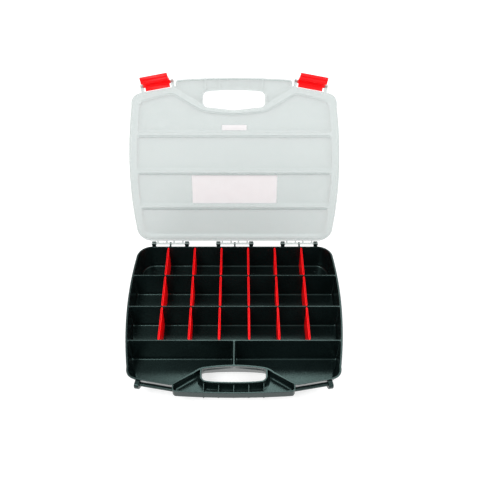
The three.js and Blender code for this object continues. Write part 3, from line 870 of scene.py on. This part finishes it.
def hingeRods():
    y, z = hingePoint.y, hingePoint.z
    reach = hingeSize["clipOffset"] + 5.5
    web = [(wallBackY - 3, lidZ + 0.1), (y - 0.6, lidZ + 0.1), (y + 1.2, z), (y - 0.6, z + 1.8),
           (wallBackY - 3, lidZ + 4)]
    made = []
    for i in (-1, 0, 1):
        middle = i * hingeSize["setPitch"]
        circle = arc(y, z, hingeSize["rod"], 0, math.tau * 23 / 24, 23)
        made.append(runAlong("rod", "X", circle, middle - reach, middle + reach, 0.5))
        for offset in (-24, -7, 7, 24):
            low = middle + offset - 1.6
            made.append(bevelled(runAlong("web", "X", rounded(web, 0.5, 2), low, low + 3.2), 0.3, 2, 60))
    return made


def lidHandle():
    outline = handleOutline()
    top = lidZ + lidSize["handleHeight"]
    levels = [(lidZ + 0.15, inset(outline, 0.5)), (lidZ + 0.8, inset(outline, 0.4))]
    levels.append((top - 4, inset(outline, 0.6)))
    for i in range(1, 6):
        t = math.pi / 2 * i / 5
        levels.append((top - 4 + 4 * math.sin(t), inset(outline, 0.6 + 3.4 * (1 - math.cos(t)))))
    block = loft("lidHandle", levels)
    wall = handleSize["wall"]
    hollowLevels = [(lidZ - 1, inset(outline, wall - 0.3)), (lidZ + 0.6, inset(outline, wall))]
    for i in range(5):
        t = math.pi / 2 * i / 4
        z = top - wall - 2.5 + 2.5 * math.sin(t)
        hollowLevels.append((z, inset(outline, wall + 0.4 + 2.5 * (1 - math.cos(t)))))
    hollow = loft("hollow", hollowLevels)
    keep = loft("keep", [(lidZ - 2, holeOutline(wall)), (top + 1, holeOutline(wall + 0.8))])
    trayField = loft("field", [(lidZ - 3, inset(trayOutline(), 0.5)), (top + 2, inset(trayOutline(), 0.5))])
    combine(hollow, "DIFFERENCE", [keep])
    combine(hollow, "DIFFERENCE", [trayField])
    return block, hollow


def lidRibs():
    high = lidZ + lidSize["handleHeight"] - 1
    rib = boxObject("rib", (-0.8, backY - 314.8, lidZ + 2), (0.8, backY - 294.6, high))
    start = (-2 * handleSize["ribPitch"], 0, 0)
    return repeated("lidRibs", rib, handleSize["ribs"], start, (handleSize["ribPitch"], 0, 0), lidPlastic)


def makeLid():
    outline = lidOutline()
    lid = loft("lid_moulding", lidShellLevels(outline))
    inner = inset(trayOutline(), 3)
    floor = lidZ + lidSize["plate"]
    edge = lidSize["edge"]
    dish = loft("dish", [
        (floor, inset(inner, 1.2)), (floor + 0.3, inset(inner, 0.5)), (floor + 1, inset(inner, 0.2)),
        (lidZ + edge - 0.5, inner), (lidZ + edge + 1, inset(inner, -0.8)),
    ])
    combine(lid, "DIFFERENCE", [dish])
    block, hollow = lidHandle()
    combine(lid, "UNION", [block])
    high = lidZ + lidSize["panelHeight"]
    for row in range(4):
        combine(lid, "UNION", [panelShape(row, lidSize["panelWall"], lidZ + 0.5, high, 1.6)])
    top = lidZ + lidSize["handleHeight"]
    wallLevels = [(lidZ + 0.4, holeOutline(2.4)), (top - 2, holeOutline(2.2)), (top - 1.2, holeOutline(1.6))]
    combine(lid, "UNION", [loft("holeWall", wallLevels)])
    lugs, bore = latchLugs()
    lugs += [copied(lug, "lugLeft", mirrorX) for lug in list(lugs)]
    for lug in lugs:
        combine(lid, "UNION", [lug])
    combine(lid, "DIFFERENCE", [hollow])
    for row in range(4):
        under = high - lidSize["plate"] + 0.2
        combine(lid, "DIFFERENCE", [panelShape(row, 0, lidZ - 0.6, under, 1.0)])
    combine(lid, "UNION", [lidRibs()])
    hole = loft("hole", [
        (lidZ - 1, holeOutline(0.9)), (lidZ + 0.5, holeOutline(0.15)), (lidZ + 1.2, holeOutline()),
        (top - 2.6, holeOutline()), (top - 1.8, holeOutline(0.3)), (top + 1, holeOutline(2)),
    ])
    combine(lid, "DIFFERENCE", [hole])
    combine(lid, "DIFFERENCE", [bore, copied(bore, "boreLeft", mirrorX)])
    for rod in hingeRods():
        combine(lid, "UNION", [rod])
    lid.data.transform(openLid)
    shaded(lid)
    finishPiece(lid, lidPlastic, "lid", "lid_plastic", "lid")
    print("lid:", len(lid.data.polygons), "faces")


stickerSize = {"label": (155, 57, 107.3), "sticker": (42.6, 9.4, 227.5), "thick": 0.35, "corner": 1.2}


def makeStickers():
    underside = lidZ + lidSize["panelHeight"] - lidSize["plate"] + 0.2
    high = underside - 0.05
    for name, node in (("label", "contents_label"), ("sticker", "small_sticker")):
        width, height, distance = stickerSize[name]
        x, y = width / 2, height / 2
        outline = rounded([(-x, -y), (x, -y), (x, y), (-x, y)], stickerSize["corner"], 4)
        outline = [(px, py + backY - distance) for px, py in outline]
        thick = stickerSize["thick"]
        levels = [(high - thick, inset(outline, 0.12)), (high - thick * 0.7, outline), (high, outline)]
        sheet = loft(node + "_sheet", levels)
        sheet.data.transform(openLid)
        finishPiece(shaded(sheet), paper, "lid", "label_paper", node)


# ---------- latches

latchSize = {"pivot": (8.2, 6), "half": 23, "tabHalf": 20.8, "pin": 1.7, "pinReach": 27.8, "swing": 45}


def latchMatrix(side):
    pivotOut, pivotUp = latchSize["pivot"]
    frameMatrix = slantMatrix()
    pivot = frameMatrix @ (Vector((0, -pivotOut, pivotUp)) * mm)
    axis = frameMatrix.to_3x3() @ Vector((1, 0, 0))
    turn = Matrix.Rotation(-math.radians(latchSize["swing"]), 4, axis)
    placed = Matrix.Translation(pivot) @ turn @ Matrix.Translation(-pivot)
    if side < 0:
        placed = mirrorX @ placed
    return openLid @ placed


def makeLatches():
    out, up = latchSize["pivot"]
    half, tabHalf = latchSize["half"], latchSize["tabHalf"]
    leaf = [(out - 1.8, up + 1), (6.3, 0), (6.3, -11.4), (2.6, -11.6), (2.2, -12.6), (4, -14.6), (6.3, -15.4),
            (7, -18), (11.4, -19.4), (11.8, -18), (9.2, -15.6), (9.2, 4), (out + 2.6, up + 1)]
    tab = [(out + 1, up + 2.6), (out - 7.2, up + 4.4), (out - 8, up + 3.4), (out - 7.6, up + 2.4),
           (out, up - 0.4)]
    pieces = [
        bevelled(alongSlant("leaf", rounded(leaf, 0.6, 3), -half, half), 0.5, 3, 60),
        bevelled(alongSlant("tab", rounded(tab, 0.6, 3), -tabHalf, tabHalf), 0.5, 3, 60),
        bevelled(alongSlant("barrel", arc(out, up, 2.8, 0, math.tau * 31 / 32, 31), -half, half), 0.4, 2, 60),
        bevelled(alongSlant("pins", arc(out, up, latchSize["pin"], 0, math.tau * 23 / 24, 23),
                            -latchSize["pinReach"], latchSize["pinReach"]), 0.3, 2, 60),
    ]
    for i in range(5):
        low = -13.5 + i * 3.1
        ridge = rounded([(9, low), (9.9, low + 0.4), (9.9, low + 1.2), (9, low + 1.6)], 0.3, 2)
        pieces.append(alongSlant("ridge", ridge, -half + 2.5, half - 2.5, 0.4))
    for low in (-8.5, -3.5):
        rib = rounded([(6.6, low + 1.3), (5.8, low + 1.0), (5.8, low + 0.3), (6.6, low)], 0.2, 2)
        pieces.append(alongSlant("rib", rib, -half + 3, half - 3, 0.3))
    master = shaded(joined("latch", pieces))
    for side, name in ((-1, "latch_left"), (1, "latch_right")):
        latch = copied(master, name + "_moulding", latchMatrix(side))
        finishPiece(latch, redPlastic, name, "latch_plastic", name)
    removeAll([master])
    print("latches: 2")


# ---------- stage

viewSize = {"elevation": 45.984, "distance": 23.629, "offset": 0.196, "target": 0.359, "focalPx": 619.872}


def makeCamera():
    pitch = caseSize["dividerPitch"]
    tilt = math.radians(viewSize["elevation"])
    target = Vector((viewSize["offset"] * pitch, backY + viewSize["target"] * pitch, rimZ))
    forward = Vector((0, math.cos(tilt), -math.sin(tilt)))
    data = bpy.data.cameras.new("camera")
    data.sensor_width = 36
    data.lens = viewSize["focalPx"] * 36 / 480
    data.clip_end = 100
    camera = bpy.data.objects.new("camera", data)
    camera.location = (target - forward * viewSize["distance"] * pitch) * mm
    camera.rotation_euler = (math.pi / 2 - tilt, 0, 0)
    bpy.context.scene.collection.objects.link(camera)
    bpy.context.scene.camera = camera


lightSize = {
    "floor": "#b8b8b8", "glow": 0.62, "world": 0.82,
    "key": {"place": (-0.9, -1.2, 2.2), "size": 1.0, "power": 36},
    "fill": {"place": (1.4, -0.9, 1.8), "size": 1.2, "power": 22},
    "top": {"place": (0.1, 1.5, 2.2), "size": 1.2, "power": 26},
}


def makeStage():
    floor = makeObject("studio_floor", [(-20000, -20000, -0.2), (20000, -20000, -0.2), (20000, 20000, -0.2),
                                         (-20000, 20000, -0.2)], [(0, 1, 2, 3)])
    material, tree = newMaterial("white_sweep")
    shader = addNode(tree, "ShaderNodeBsdfPrincipled", None, Roughness=0.9)
    shader.inputs["Base Color"].default_value = hexColor(lightSize["floor"])
    shader.inputs["Emission Color"].default_value = (1, 1, 1, 1)
    shader.inputs["Emission Strength"].default_value = lightSize["glow"]
    finishMaterial(tree, shader)
    floor.data.materials.append(material)
    world = bpy.data.worlds.new("studio")
    bpy.context.scene.world = world
    bpy.context.scene.view_settings.view_transform = "Standard"
    world.use_nodes = True
    world.node_tree.nodes["Background"].inputs["Color"].default_value = (1, 1, 1, 1)
    world.node_tree.nodes["Background"].inputs["Strength"].default_value = lightSize["world"]
    middle = Vector((0, 0, 0.1))
    for name in ("key", "fill", "top"):
        look = lightSize[name]
        data = bpy.data.lights.new(name, "AREA")
        data.shape = "DISK"
        data.size = look["size"]
        data.energy = look["power"]
        light = bpy.data.objects.new(name, data)
        light.location = look["place"]
        light.rotation_euler = (middle - light.location).to_track_quat("-Z", "Y").to_euler()
        bpy.context.scene.collection.objects.link(light)


makeCamera()
makeStage()
makeTray()
makeRails()
makeHandleRibs()
makeCatches()
makeHinges()
makeFloorButtons()
makeDividers()
makeLid()
makeStickers()
makeLatches()
